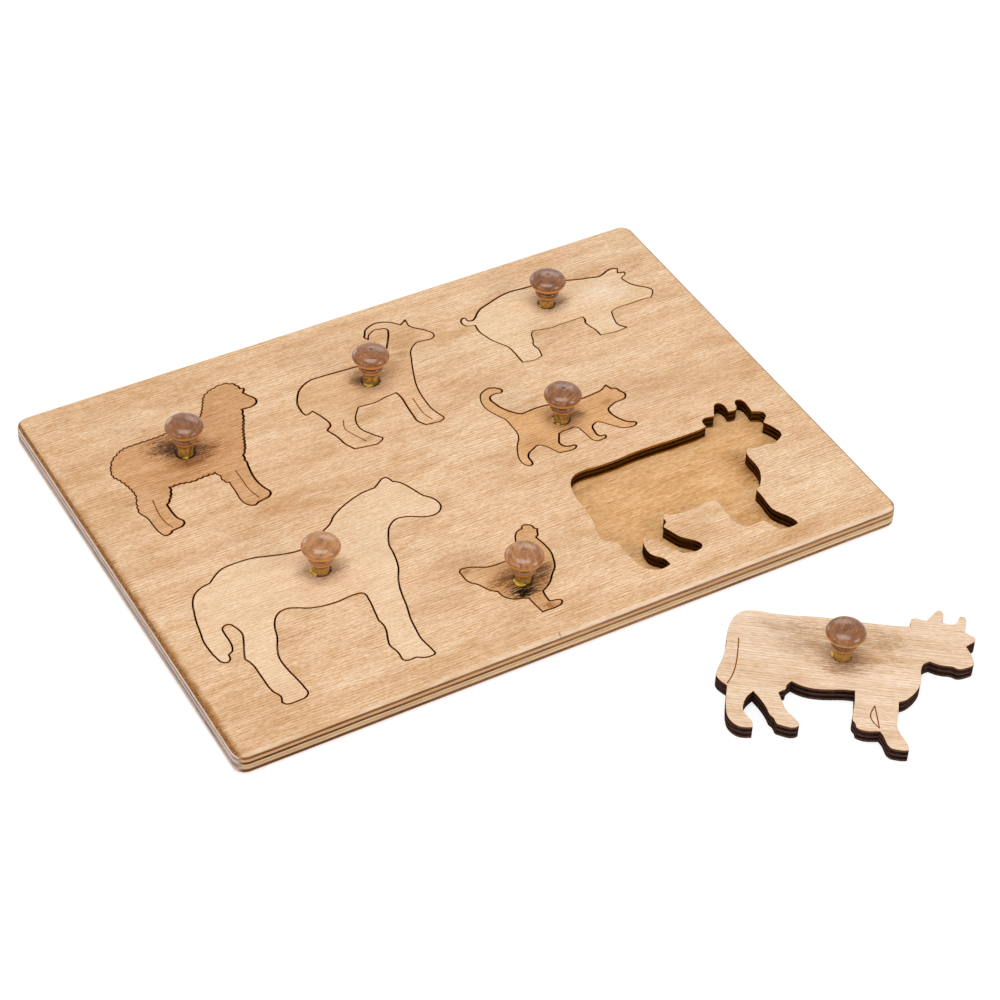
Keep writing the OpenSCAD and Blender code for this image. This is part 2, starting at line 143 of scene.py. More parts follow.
def newMaterial(name):
    material = bpy.data.materials.new(name)
    material.use_nodes = True
    material.node_tree.nodes.clear()
    return material, material.node_tree


def ownPlace(tree, centre, turn):
    # object coordinates turned into millimetres in the piece's own frame
    coords = addNode(tree, "ShaderNodeTexCoord").outputs["Object"]
    sockets = {"Vector": coords, "Location": tuple(c * mm for c in centre),
               "Rotation": (0, 0, math.radians(turn)), "Scale": (mm, mm, mm)}
    return addNode(tree, "ShaderNodeMapping", sockets, vector_type="TEXTURE").outputs[0]


def ownNormal(tree, turn):
    normal = addNode(tree, "ShaderNodeNewGeometry").outputs["Normal"]
    sockets = {"Vector": normal, "Angle": math.radians(-turn)}
    return addNode(tree, "ShaderNodeVectorRotate", sockets, rotation_type="Z_AXIS").outputs[0]


def closeMaterial(tree, sockets):
    shader = addNode(tree, "ShaderNodeBsdfPrincipled", sockets)
    out = addNode(tree, "ShaderNodeOutputMaterial")
    tree.links.new(shader.outputs[0], out.inputs[0])


# Face grain of the plywood

plywood = {
    "sway": noiseLayer((140, 40, 30), 9.1, 2.0), "swayHeight": 4.0,
    "layerRough": 0.6, "grainStep": 3.3,  # each layer of the grain is shifted on by one step
    "fibreStart": 1.3, "fibreStep": 4.9, "fibreTint": (0.70, 1.20, 1.90),
    "cloudEdge": (0.46, 0.70),
    "linePitch": 1.31, "lineStrength": 0.1,
    "lineDrift": noiseLayer((60, 7, 30), 10.7, 1.0), "driftSwing": 9.0,
    "lineBreak": noiseLayer((14, 2.4, 30), 15.2, 1.0), "breakEdge": (0.3, 0.7, 0.2, 1.8),
    "pores": noiseLayer((3.6, 0.32, 30), 7.9, 1.0, 0.5), "poreEdge": (0.60, 0.72),
    "bump": {"Strength": 0.1, "Distance": 0.00005},
    "roughness": 0.5, "specular": 0.12,
}


def addLayers(tree, place, layers, seed, step, value):
    # each layer has a size, a strength and a detail
    for index, (size, strength, detail) in enumerate(layers):
        layer = noiseLayer(size, step * index, detail, plywood["layerRough"])
        value = calc(tree, "ADD", swing(tree, addNoise(tree, place, seed, layer), strength), value)
    return value


def grainLines(tree, place, wavy, look):
    # fine even lines that come and go along the grain
    drift = swing(tree, addNoise(tree, place, look["seed"], plywood["lineDrift"]), plywood["driftSwing"])
    phase = calc(tree, "MULTIPLY_ADD", splitXyz(tree, wavy)[1], math.tau / plywood["linePitch"], drift)
    broken = fade(tree, addNoise(tree, place, look["seed"], plywood["lineBreak"]), *plywood["breakEdge"])
    return product(tree, calc(tree, "SINE", phase), broken, plywood["lineStrength"] * look["lineShare"])


def faceGrain(tree, place, look):
    seed = look["seed"]
    lift = swing(tree, addNoise(tree, place, seed, plywood["sway"]), plywood["swayHeight"])
    wavy = calcVector(tree, "ADD", place, addNode(tree, "ShaderNodeCombineXYZ", {"Y": lift}).outputs[0])
    tone = addLayers(tree, wavy, look["grain"], seed, plywood["grainStep"], look["grainMiddle"])
    colour = rampColour(tree, tone, [(0.0, look["pale"]), (0.5, look["tan"]), (1.0, look["brown"])])
    cloud = fade(tree, addNoise(tree, place, seed, look["cloud"]), *plywood["cloudEdge"])
    colour = blendColour(tree, calc(tree, "MULTIPLY", cloud, look["stainShare"]), colour, look["stain"])
    colour = addStains(tree, place, look, colour)
    fine = addLayers(tree, wavy, look["fibre"], seed + plywood["fibreStart"], plywood["fibreStep"], 0.0)
    fine = calc(tree, "ADD", fine, grainLines(tree, place, wavy, look))
    colour = tintColour(tree, colour, fine, tuple(s * look["fibreShare"] for s in plywood["fibreTint"]))
    pore = fade(tree, addNoise(tree, wavy, seed, plywood["pores"]), *plywood["poreEdge"])
    return blendColour(tree, calc(tree, "MULTIPLY", pore, look["poreShare"]), colour, look["pore"]), fine


# Stains, marks and the burnt ring round the hole of a knob, with painted light and shade mixed into some of
# them

# grime and soot darken the wood as marks; where the marks ring a knob's foot or lie by the recess wall they
# are also painted shade
grimeAndShade = (0.47, 0.33, 0.16)  # share of the wood's own colour that a mark leaves
sootAndShade = (0.055, 0.028, 0.006)
ochre = (0.66, 0.52, 0.32)
stainBrown = (0.53, 0.27, 0.11)
bleachedAndLit = (0.83, 0.62, 0.42)
thinVeneer = (0.36, 0.165, 0.050)  # golden glue layer under a face that was sanded thin

marks = {
    "core": 0.1,  # share of a mark's reach that keeps the full tone
    "patchy": noiseLayer((20, 6, 10), 4.4, 2.0, 0.6), "patchyEdge": (0.28, 0.70, 0.25, 1.0),
    "fibre": noiseLayer((6.0, 0.5, 5.0), 2.2, 1.0, 0.6), "fibreSwing": 1.8,
    "blot": noiseLayer((5.0, 2.4, 4.0), 6.4, 3.0, 0.6), "blotSwing": 1.2,
    "speck": noiseLayer((1.4, 0.5, 5.0), 8.9, 1.0, 0.6), "speckSwing": 1.5,
    "raggedEdge": (0.1, 1.2), "reachEdge": (0.0, 0.35), "upwardEdge": (0.0, 0.5),
    "ring": noiseLayer((1.6, 0.9, 1.0), 13.0, 2.0), "ringSwing": 1.6, "ringSoft": 0.3, "ringShare": 0.95,
}


def spotShare(tree, place, spot, size, core):
    offset = calcVector(tree, "SUBTRACT", place, (*spot, 0))
    flat = calcVector(tree, "MULTIPLY", offset, (1 / size[0], 1 / size[1], 0))
    return fade(tree, calcVector(tree, "LENGTH", flat), 1.0, core)


def addStains(tree, place, look, colour):
    # broad patches where the wood drank more or less stain; on the board the paler patches towards the back
    # right and the darker ones at the front left are partly painted light and shade for light falling off
    # across it
    if not look.get("stains"):
        return colour
    patchy = fade(tree, addNoise(tree, place, look["seed"], marks["patchy"]), *marks["patchyEdge"])
    for spot, size, share, tone in look["stains"]:
        near = spotShare(tree, place, spot, size, marks["core"])
        colour = blendColour(tree, product(tree, near, patchy, share), colour, tone)
    return colour


def addSmudgesAndShade(tree, place, look, colour):
    # soot and finger marks that break up into streaks along the grain; the dark marks round a knob's foot and
    # by the recess wall are partly painted shade as well
    if not look.get("smudgesAndShade"):
        return colour
    fibre = swing(tree, addNoise(tree, place, look["seed"], marks["fibre"]), marks["fibreSwing"])
    blot = swing(tree, addNoise(tree, place, look["seed"], marks["blot"]), marks["blotSwing"])
    speck = swing(tree, addNoise(tree, place, look["seed"], marks["speck"]), marks["speckSwing"])
    ragged = calc(tree, "ADD", speck, calc(tree, "ADD", fibre, blot))
    facing = splitXyz(tree, ownNormal(tree, look["turn"]))[2]
    upward = fade(tree, facing, *marks["upwardEdge"])  # none on the underside
    for spot, size, share, tone in look["smudgesAndShade"]:
        near = spotShare(tree, place, spot, size, marks["core"])
        mark = fade(tree, calc(tree, "ADD", near, ragged), *marks["raggedEdge"])
        mark = product(tree, mark, fade(tree, near, *marks["reachEdge"]), upward, share)
        colour = blendColour(tree, mark, colour, tone, "MULTIPLY")
    return colour


def addHole(tree, place, look, colour):
    # the dark ring round a knob's foot is partly the burnt rim of the hole and partly painted shade in the
    # open gap between hole and tenon
    if not look.get("hole"):
        return colour
    outward = flatLength(tree, calcVector(tree, "SUBTRACT", place, (*look["knob"], 0)))
    ragged = swing(tree, addNoise(tree, place, look["seed"], marks["ring"]), marks["ringSwing"])
    edge = (look["hole"] + marks["ringSoft"], look["hole"] - marks["ringSoft"])
    ring = fade(tree, calc(tree, "ADD", outward, ragged), *edge, 0.0, marks["ringShare"])
    return blendColour(tree, ring, colour, sootAndShade, "MULTIPLY")


# Plies, and the sanded rim of the board

plies = {
    "wobble": noiseLayer((14, 14, 4), 1.4), "wobbleSwing": 0.45,
    "seam": 0.02,  # half a glue line, as a share of the thickness
    "turnEdge": (0.5, 0.9),
}
sanded = {
    "fleck": noiseLayer((7.0, 7.0, 0.35), 8.8, 3.0, 0.65), "fleckSwing": 0.8, "fleckTint": (1.0, 1.1, 1.2),
    "hatch": noiseLayer((0.5, 0.5, 4.0), 12.1, 2.0, 0.6), "hatchSwing": 1.6, "hatchEdge": (0.36, 0.62),
    "worn": noiseLayer((22.0, 22.0, 1.2), 14.6, 3.0, 0.6), "wornSwing": 3.0, "wornEdge": (0.36, 0.6),
    "endTint": (1.0, 0.95, 0.85), "paleShare": 0.6, "seamShare": 0.35,
    "dullSoft": 0.1, "topSoft": 0.15, "footEdge": (0.7, 0.05),
    "faceEdge": (0.82, 0.97), "nickCore": 0.3,
    "rimLight": (0.46, 0.20, 0.058),  # end of the face ply on the round-over
    "rimDark": (0.16, 0.066, 0.018),
    "palePly": (0.40, 0.215, 0.115),
    "glueLine": (0.14, 0.068, 0.034),
}


def plyRamp(tree, at, look, tones):
    return rampColour(tree, at, list(zip(look["plies"], tones)), "CONSTANT")


def plyLevels(tree, place, normal, look):
    # plies are counted up from the underside; odd ones run across the board
    z = splitXyz(tree, place)[2]
    wobble = swing(tree, addNoise(tree, place, look["seed"], plies["wobble"]), plies["wobbleSwing"])
    at = calc(tree, "DIVIDE", calc(tree, "ADD", z, wobble), look["thick"])
    across = plyRamp(tree, at, look, [(i % 2,) * 3 for i in range(len(look["plies"]))])
    seams = [(0.0, (0, 0, 0))]
    for start in look["plies"][1:]:
        seams.append((start - plies["seam"], (1, 1, 1)))
        seams.append((start + plies["seam"], (0, 0, 0)))
    seam = rampColour(tree, at, seams, "CONSTANT")
    level = calcVector(tree, "NORMALIZE", calcVector(tree, "MULTIPLY", normal, (1, 1, 0)))
    intoX, intoY = [fade(tree, calc(tree, "ABSOLUTE", facing), *plies["turnEdge"])
                    for facing in splitXyz(tree, level)[:2]]
    endAcross = product(tree, across, intoY)
    endAlong = product(tree, calc(tree, "SUBTRACT", 1.0, across), intoX)
    end = calc(tree, "ADD", endAcross, endAlong, clamp=True)
    return z, at, end, seam


def sandedEdge(tree, place, look, z, at, end, seam):
    fleck = addNoise(tree, place, look["seed"], sanded["fleck"])
    hatch = addNoise(tree, place, look["seed"], sanded["hatch"])
    worn = addNoise(tree, place, look["seed"], sanded["worn"])
    topFrom = look["thick"] * look["plies"][-1]
    dullSoft, topSoft = sanded["dullSoft"], sanded["topSoft"]
    # plies whose fibres run along the edge
    leftward = fade(tree, splitXyz(tree, place)[0], *look["dullFrom"])
    onTop = fade(tree, z, topFrom - dullSoft, topFrom + dullSoft)
    dull = product(tree, onTop, fade(tree, worn, *sanded["wornEdge"]), leftward)
    long = blendColour(tree, dull, plyRamp(tree, at, look, look["longTones"]), look["dullRim"])
    long = tintColour(tree, long, swing(tree, fleck, sanded["fleckSwing"]), sanded["fleckTint"])
    # plies that show their end grain
    pale = calc(tree, "MULTIPLY_ADD", leftward, -sanded["paleShare"], sanded["paleShare"])
    dark = blendColour(tree, pale, plyRamp(tree, at, look, look["endTones"]), sanded["palePly"])
    uneven = swing(tree, worn, sanded["wornSwing"])
    uneven = calc(tree, "ADD", uneven, swing(tree, hatch, sanded["hatchSwing"]))
    dark = tintColour(tree, dark, uneven, sanded["endTint"])
    rim = blendColour(tree, fade(tree, hatch, *sanded["hatchEdge"]), sanded["rimLight"], sanded["rimDark"])
    onRim = fade(tree, z, topFrom - topSoft, topFrom + topSoft, 0.0, look["topPly"])
    dark = blendColour(tree, onRim, dark, rim)
    edge = blendColour(tree, end, long, dark)
    edge = blendColour(tree, calc(tree, "MULTIPLY", seam, sanded["seamShare"]), edge, sanded["glueLine"])
    # darker towards the underside: painted shade where the edge meets the floor, with the darker lower arris;
    # it takes the glue line's colour
    foot = fade(tree, z, *sanded["footEdge"], 0.0, look["footDark"])
    return blendColour(tree, foot, edge, sanded["glueLine"])


def plywoodMaterial(name, look):
    material, tree = newMaterial(name)
    place = ownPlace(tree, look["centre"], look["turn"])
    colour, fine = faceGrain(tree, place, look)
    colour = addSmudgesAndShade(tree, place, look, colour)
    colour = addHole(tree, place, look, colour)
    if look.get("longTones"):
        normal = ownNormal(tree, look["turn"])
        edge = sandedEdge(tree, place, look, *plyLevels(tree, place, normal, look))
        nz = calc(tree, "ABSOLUTE", splitXyz(tree, normal)[2])
        colour = blendColour(tree, fade(tree, nz, *sanded["faceEdge"]), edge, colour)
        for spot, size, share, tone in look["nicks"]:
            nick = product(tree, spotShare(tree, place, spot, size, sanded["nickCore"]), share)
            colour = blendColour(tree, nick, colour, tone)
    bump = addNode(tree, "ShaderNodeBump", {**plywood["bump"], "Height": fine})
    closeMaterial(tree, {"Base Color": colour, "Roughness": plywood["roughness"],
                         "Specular IOR Level": plywood["specular"], "Normal": bump.outputs[0]})
    return material


# Walls burnt by the laser, and the engraved lines

burnt = {
    "facePly": (0.31, 0.120, 0.010),
    "longGrain": (0.105, 0.036, 0.003),
    "endGrain": (0.011, 0.0035, 0.001),
    "engraved": (0.39, 0.125, 0.006), "engravedDark": (0.21, 0.066, 0.004), "engravedEdge": (0.35, 0.65),
    "streak": noiseLayer((0.8, 0.8, 6.0), 6.6, 3.0, 0.6), "streakSwing": 1.2,
    "scorch": noiseLayer((6.0, 6.0, 1.0), 16.3, 3.0, 0.6), "scorchSwing": 1.4,
    "blackEdge": (0.32, 0.6, 0.55, 1.0), "seamShare": 0.8,
    "upperEdge": (-0.02, 0.05),  # about the start of the top ply
    "lowerEdge": (0.8, 0.4),  # as shares of the lowest ply
    "openSoft": 1.0,
    "kerfDepth": (0.95, 0.2), "arrisDepth": (0.45, 0.15), "arrisEdge": (0.25, 0.6, 0.6, 1.0),
    "levelEdge": (0.9, 0.98),
    "roughness": 0.85, "specular": 0.0,
}


def openShare(tree, place, look):
    # nought in a narrow cut, one where the wall stands in the open
    x, y, _ = splitXyz(tree, place)
    openX, openY = look["openFrom"]
    soft = burnt["openSoft"]
    return product(tree, fade(tree, x, openX, openX + soft), fade(tree, y, openY, openY - soft))


def amberArris(tree, look, z, openHere, streak):
    # the glow of scorched wood just below the face reaches deeper in a narrow cut
    inKerf, onArris = [fade(tree, z, look["thick"] - deep, look["thick"] - shallow)
                       for deep, shallow in (burnt["kerfDepth"], burnt["arrisDepth"])]
    closed = calc(tree, "SUBTRACT", 1.0, openHere)
    amber = calc(tree, "ADD", product(tree, openHere, onArris), product(tree, closed, inKerf))
    return product(tree, amber, fade(tree, streak, *burnt["arrisEdge"]))


def burntMaterial(name, look):
    material, tree = newMaterial(name)
    tones = {**burnt, **look.get("wall", {})}
    place = ownPlace(tree, look["centre"], look["turn"])
    normal = ownNormal(tree, look["turn"])
    z, at, end, seam = plyLevels(tree, place, normal, look)
    streak = addNoise(tree, place, look["seed"], burnt["streak"])
    scorch = addNoise(tree, place, look["seed"], burnt["scorch"])
    upper = fade(tree, at, *(look["plies"][-1] + edge for edge in burnt["upperEdge"]))
    lower = fade(tree, at, *(look["plies"][1] * edge for edge in burnt["lowerEdge"]))
    openHere = openShare(tree, place, look)
    facePly = product(tree, calc(tree, "MAXIMUM", upper, lower), openHere, look["facePlyShare"])
    wall = blendColour(tree, facePly, tones["longGrain"], tones["facePly"])
    black = calc(tree, "MAXIMUM", end, calc(tree, "MULTIPLY", seam, burnt["seamShare"]))
    black = product(tree, black, fade(tree, scorch, *burnt["blackEdge"]))
    wall = blendColour(tree, black, wall, tones["endGrain"])
    uneven = swing(tree, streak, burnt["streakSwing"])
    uneven = calc(tree, "ADD", uneven, swing(tree, scorch, burnt["scorchSwing"]))
    wall = tintColour(tree, wall, uneven, (1, 1, 1))
    arrisTone = blendColour(tree, openHere, look["kerfArris"], look["arris"])
    wall = blendColour(tree, amberArris(tree, look, z, openHere, streak), wall, arrisTone)
    lineShade = fade(tree, streak, *burnt["engravedEdge"])
    line = blendColour(tree, lineShade, burnt["engraved"], burnt["engravedDark"])
    level = fade(tree, calc(tree, "ABSOLUTE", splitXyz(tree, normal)[2]), *burnt["levelEdge"])
    closeMaterial(tree, {"Base Color": blendColour(tree, level, wall, line), "Roughness": burnt["roughness"],
                         "Specular IOR Level": burnt["specular"]})
    return material


# Clean copies of the cut sheets, with the sharp top arris of each cut eased

arris = {
    "ease": 0.00026,  # lengths here are in metres
    "shallow": 0.001,  # grooves shallower than this keep a sharp edge
    "merge": 2e-6, "sameLevel": 2e-5, "levelNormal": 0.9999, "smoothBelow": math.radians(40),
}


def finishPiece(bm, name, *materials):
    mesh = bpy.data.meshes.new(name)
    bm.to_mesh(mesh)
    bm.free()
    piece = bpy.data.objects.new(name, mesh)
    scene.collection.objects.link(piece)
    for material in materials:
        mesh.materials.append(material)
    return piece


def isLevel(face):
    return abs(face.normal.z) > arris["levelNormal"]


def cutRims(bm, topZ, isCut):
    # top edges of the deep cuts
    for e in bm.edges:
        onTop = all(abs(v.co.z - topZ) <= arris["sameLevel"] and isCut(v.co) for v in e.verts)
        if not onTop or len(e.link_faces) != 2:
            continue
        walls = [f for f in e.link_faces if not isLevel(f)]
        if len(walls) == 1 and min(v.co.z for v in walls[0].verts) < topZ - arris["shallow"]:
            yield e


def cutSheet(nodeName, name, look, topZ, isCut):
    # isCut tells which corners belong to a laser cut and not to the board's own rim
    bm = bmesh.new()
    bm.from_mesh(cadNodes[nodeName].data)
    bmesh.ops.remove_doubles(bm, verts=bm.verts[:], dist=arris["merge"])
    bm.normal_update()
    rims = list(cutRims(bm, topZ, isCut))
    bmesh.ops.bevel(bm, geom=rims, offset=arris["ease"], offset_type="OFFSET", segments=1, profile=0.5,
                    affect="EDGES", clamp_overlap=True, material=-1)
    bm.normal_update()
    for f in bm.faces:
        f.smooth = True
        groove = isLevel(f) and topZ - arris["shallow"] < f.verts[0].co.z < topZ - arris["sameLevel"]
        cutWall = not isLevel(f) and all(isCut(v.co) for v in f.verts)
        f.material_index = 1 if groove or cutWall else 0
    for e in bm.edges:
        level = [isLevel(f) for f in e.link_faces]
        e.smooth = all(level) or (not any(level) and e.calc_face_angle(0) < arris["smoothBelow"])
    face = plywoodMaterial(nodeName + "Plywood", look)
    return finishPiece(bm, name, face, burntMaterial(nodeName + "Burnt", look))


board = {
    "wide": 300.0, "deep": 216.0, "rimMargin": 5, "baseThick": 4.0, "sheetThick": 6.0,
    "centre": (0, 0, 4.0), "turn": 0.0, "thick": 6.0, "seed": 3.0,
    "plies": (0.0, 0.21, 0.40, 0.63, 0.77),  # where each ply starts, as a share of the thickness
    "pale": (0.83, 0.61, 0.41), "tan": (0.715, 0.46, 0.265), "brown": (0.585, 0.32, 0.14),
    "grainMiddle": 0.42, "grain": [((120, 8, 30), 0.7, 1.0), ((90, 2.4, 30), 0.12, 0.0)],
    "fibre": [((16.0, 0.60, 30), 0.28, 0.0), ((5.0, 0.50, 30), 0.36, 0.0), ((1.5, 0.36, 30), 0.6, 0.0)],
    "fibreShare": 1.0, "lineShare": 1.0, "pore": (0.33, 0.165, 0.075), "poreShare": 0.3,
    "cloud": noiseLayer((30.0, 11.0, 30.0), 5.7, 2.0, 0.6, 0.5), "stain": stainBrown, "stainShare": 0.42,
    "facePlyShare": 1.0,
    "openFrom": (36.0, -26.0),  # the empty recess of the cow lies to the right of and in front of this point
    "arris": (0.30, 0.095, 0.010), "kerfArris": (0.43, 0.100, 0.003),
    # footDark: how far the bottom of the edge is darkened, as painted shade where it meets the floor, with
    # the darker lower arris
    "topPly": 1.0, "footDark": 0.55,
    "longTones": [(0.86, 0.56, 0.30), (0.80, 0.60, 0.48), (0.78, 0.42, 0.185), (0.82, 0.62, 0.50),
                  (0.83, 0.60, 0.42)],
    "endTones": [(0.36, 0.255, 0.215), (0.115, 0.048, 0.019), (0.42, 0.315, 0.275), (0.21, 0.084, 0.028),
                 (0.34, 0.135, 0.036)],
    "dullRim": (0.70, 0.42, 0.225), "dullFrom": (40.0, -120.0),
    # place, reach, share and tone of each mark
    "nicks": [((-11.2, -106.6), (0.5, 1.3), 0.7, (0.22, 0.11, 0.055))],
    # the pale patches at the back right and the dark ones at the front left also stand in for light falling
    # off across the board: painted light and painted shade
    "stains": [
        ((-140, 30), (24, 85), 0.45, stainBrown), ((-110, 98), (70, 16), 0.4, stainBrown),
        ((-70, 6), (40, 19), 0.75, stainBrown), ((-126, 38), (18, 10), 0.6, stainBrown),
        ((-18, 92), (46, 15), 0.4, stainBrown), ((82, 58), (24, 13), 0.55, stainBrown),
        ((90, 96), (40, 11), 0.2, stainBrown), ((134, 80), (15, 30), 0.3, stainBrown),
        ((100, 2), (42, 14), 0.55, stainBrown), ((140, -2), (12, 20), 0.4, stainBrown),
        ((-15, -18), (10, 8), 0.65, stainBrown), ((-50, -101), (110, 11), 0.5, stainBrown),
        ((95, -103), (70, 8), 0.55, stainBrown), ((-128, -94), (34, 26), 0.55, stainBrown),
        ((-30, -58), (24, 18), 0.6, stainBrown), ((5, 12), (44, 16), 0.45, bleachedAndLit),
        ((-142, 2), (10, 26), 0.4, bleachedAndLit), ((128, -75), (30, 36), 0.6, bleachedAndLit),
        ((60, 92), (16, 10), 0.3, bleachedAndLit), ((146, 100), (60, 30), 0.4, bleachedAndLit),
        ((-149, 0), (3.6, 140), 0.9, thinVeneer), ((-149, -66), (3.0, 64), 1.0, thinVeneer),
        ((-148.6, -80), (2.4, 44), 1.0, thinVeneer), ((-147, -105), (7, 3.0), 0.7, thinVeneer),
    ],
    "smudgesAndShade": [((106, -47), (7, 12), 0.25, grimeAndShade), ((-126, 37), (9, 2.5), 0.45, grimeAndShade)],
}
base = {
    **board, "centre": (0, 0, 0), "thick": 4.0, "plies": (0.0, 0.33, 0.66), "seed": 11.0,
    "pale": (0.79, 0.505, 0.26), "tan": (0.69, 0.385, 0.165), "brown": (0.545, 0.265, 0.085),
    "grainMiddle": 0.45, "grain": [((26, 9, 30), 0.6, 1.0), ((14, 2.4, 30), 0.25, 1.0)],
    "fibre": [((7.0, 0.50, 30), 0.40, 0.0), ((1.8, 0.42, 30), 0.65, 0.0)],
    "stain": (0.52, 0.27, 0.10), "stainShare": 0.3, "lineShare": 0.5, "topPly": 0.0, "footDark": 0.2,
    "longTones": [(0.76, 0.39, 0.17), (0.78, 0.60, 0.49), (0.88, 0.59, 0.325)],
    "endTones": [(0.86, 0.57, 0.40), (0.095, 0.042, 0.019), (0.46, 0.345, 0.295)],
    "nicks": [], "stains": [],
    # the darker marks on the recess floor by the wall are partly painted shade
    "smudgesAndShade": [((109, -54), (9, 20), 0.6, ochre), ((112, -56), (6, 16), 0.6, grimeAndShade),
                ((98, -80), (16, 10), 0.5, ochre)],
}


def insideBoard(co):
    halfWide, halfDeep = [(board[side] / 2 - board["rimMargin"]) * mm for side in ("wide", "deep")]
    return abs(co.x) < halfWide and abs(co.y) < halfDeep


boardTop = (board["baseThick"] + board["sheetThick"]) * mm
boardSheet = cutSheet("frame_panel", "boardSheet", board, boardTop, insideBoard)
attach(boardSheet, "board")
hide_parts("frame_panel")
cadNodes["base_panel"].data.materials.clear()
cadNodes["base_panel"].data.materials.append(plywoodMaterial("basePlywood", base))
print("board made")

# The animals

animal = {
    "turn": 0.0, "thick": 6.0, "plies": (0.0, 0.20, 0.40, 0.60, 0.80), "grainMiddle": 0.45,
    "grain": [((90, 7, 30), 0.7, 1.0), ((80, 2.4, 30), 0.12, 0.0)],
    "fibre": [((16.0, 0.60, 30), 0.28, 0.0), ((5.0, 0.50, 30), 0.36, 0.0), ((1.5, 0.36, 30), 0.5, 0.0)],
    "fibreShare": 0.95, "lineShare": 1.0, "pore": (0.32, 0.16, 0.072), "poreShare": 0.35,
    "cloud": noiseLayer((30.0, 14.0, 30.0), 5.7, 2.0, 0.6, 0.5), "stain": stainBrown, "stainShare": 0.25,
    "hole": 4.1, "facePlyShare": 0.35, "footStain": 0.7,
    "openFrom": (200.0, -200.0), "arris": (0.30, 0.095, 0.010), "kerfArris": (0.43, 0.100, 0.003),
}
# the dark smudges round each knob's foot are partly painted shade round the foot
# proud: how far a knob stands above its full depth; glue: start, end and half width of each bead
sheep = {
    **animal, "node": "sheep", "slot": "brown_plywood", "centre": (-95.15, 56.15, 4), "seed": 21.0,
    "pale": (0.68, 0.40, 0.205), "tan": (0.585, 0.31, 0.14), "brown": (0.46, 0.215, 0.08),
    "stainShare": 0.3, "stain": (0.44, 0.21, 0.088), "fibreShare": 1.05, "hole": 4.5,
    "stains": [((-24, -24), (12, 16), 0.8, (0.70, 0.44, 0.25)),
               ((12, -31), (11, 13), 0.5, (0.68, 0.42, 0.23))],
    "knob": (0, 0), "proud": 1.6, "knobTone": 0.5, "footStain": 0.9, "glue": [(225, 270, 0.55)],
    "smudgesAndShade": [((1, -3), (26, 17), 0.75, ochre), ((-4, 6.5), (18, 12), 0.8, grimeAndShade),
                ((-5, 5.5), (13, 9), 0.7, sootAndShade), ((7, -1), (12, 9), 0.7, grimeAndShade),
                ((6, -1), (8, 6), 0.3, sootAndShade), ((0, -7), (12, 6), 0.6, grimeAndShade)],
}
goat = {
    **animal, "node": "goat", "slot": "frame_plywood", "centre": (-4.9, 61.95, 4), "seed": 34.0,
    "pale": (0.79, 0.54, 0.335), "tan": (0.69, 0.43, 0.235), "brown": (0.56, 0.31, 0.135),
    "hole": 4.3, "kerfArris": (0.48, 0.150, 0.008),
    "knob": (-1, 0), "proud": 1.2, "knobTone": 0.45, "glue": [(185, 262, 0.6)],
    "smudgesAndShade": [((-4, 2), (14, 9), 0.65, grimeAndShade), ((10, 4), (12, 10), 0.5, grimeAndShade),
                ((-5, 2), (8, 5), 0.6, sootAndShade), ((-20, -33), (7, 3), 0.5, grimeAndShade),
                ((19, 9), (6, 4), 0.6, grimeAndShade), ((24, 17), (15, 12), 0.5, ochre)],
}
pig = {
    **animal, "node": "pig", "slot": "pale_plywood", "centre": (88.05, 72.3, 4), "seed": 47.0,
    "pale": (0.845, 0.635, 0.435), "tan": (0.77, 0.535, 0.33), "brown": (0.67, 0.405, 0.20),
    "stainShare": 0.15, "stains": [((26, -3), (15, 15), 0.85, (0.89, 0.71, 0.53))],
    "kerfArris": (0.58, 0.220, 0.016),
    "knob": (-0.5, 1), "proud": 0.2, "knobTone": 0.55, "glue": [(165, 200, 0.4)],
    "smudgesAndShade": [((1, 0), (14, 9), 0.5, grimeAndShade), ((5, -1), (8, 4), 0.4, sootAndShade)],
}
cat = {
    **animal, "node": "cat", "slot": "brown_plywood", "centre": (53.82, 2.95, 4), "seed": 53.0,
    "pale": (0.75, 0.46, 0.22), "tan": (0.665, 0.37, 0.16), "brown": (0.52, 0.26, 0.095),
    "knob": (0, 0), "proud": 1.0, "knobTone": 0.5, "glue": [(140, 190, 0.75), (200, 235, 0.5)],
    "smudgesAndShade": [((3, 1), (14, 9), 0.6, grimeAndShade), ((6, 0), (7, 4), 0.5, sootAndShade),
                ((-17, -8), (9, 9), 0.35, grimeAndShade), ((23, 1), (6, 4), 0.5, grimeAndShade)],
}
horse = {
    **animal, "node": "horse", "slot": "pale_plywood", "centre": (-79, -33.5, 4), "seed": 65.0,
    "pale": (0.85, 0.635, 0.435), "tan": (0.785, 0.545, 0.345), "brown": (0.66, 0.40, 0.195),
    "stainShare": 0.2, "fibreShare": 0.85, "lineShare": 0.75,
    "knob": (2, 1.5), "proud": 0.2, "knobTone": 0.12, "footStain": 0.4,
    "glue": [(128, 180, 1.15), (178, 218, 0.85)],
    "smudgesAndShade": [((4, 1), (16, 8), 0.5, grimeAndShade), ((8, -1), (8, 3.5), 0.2, sootAndShade), ((-5, 4), (7, 3), 0.3, sootAndShade)],
}
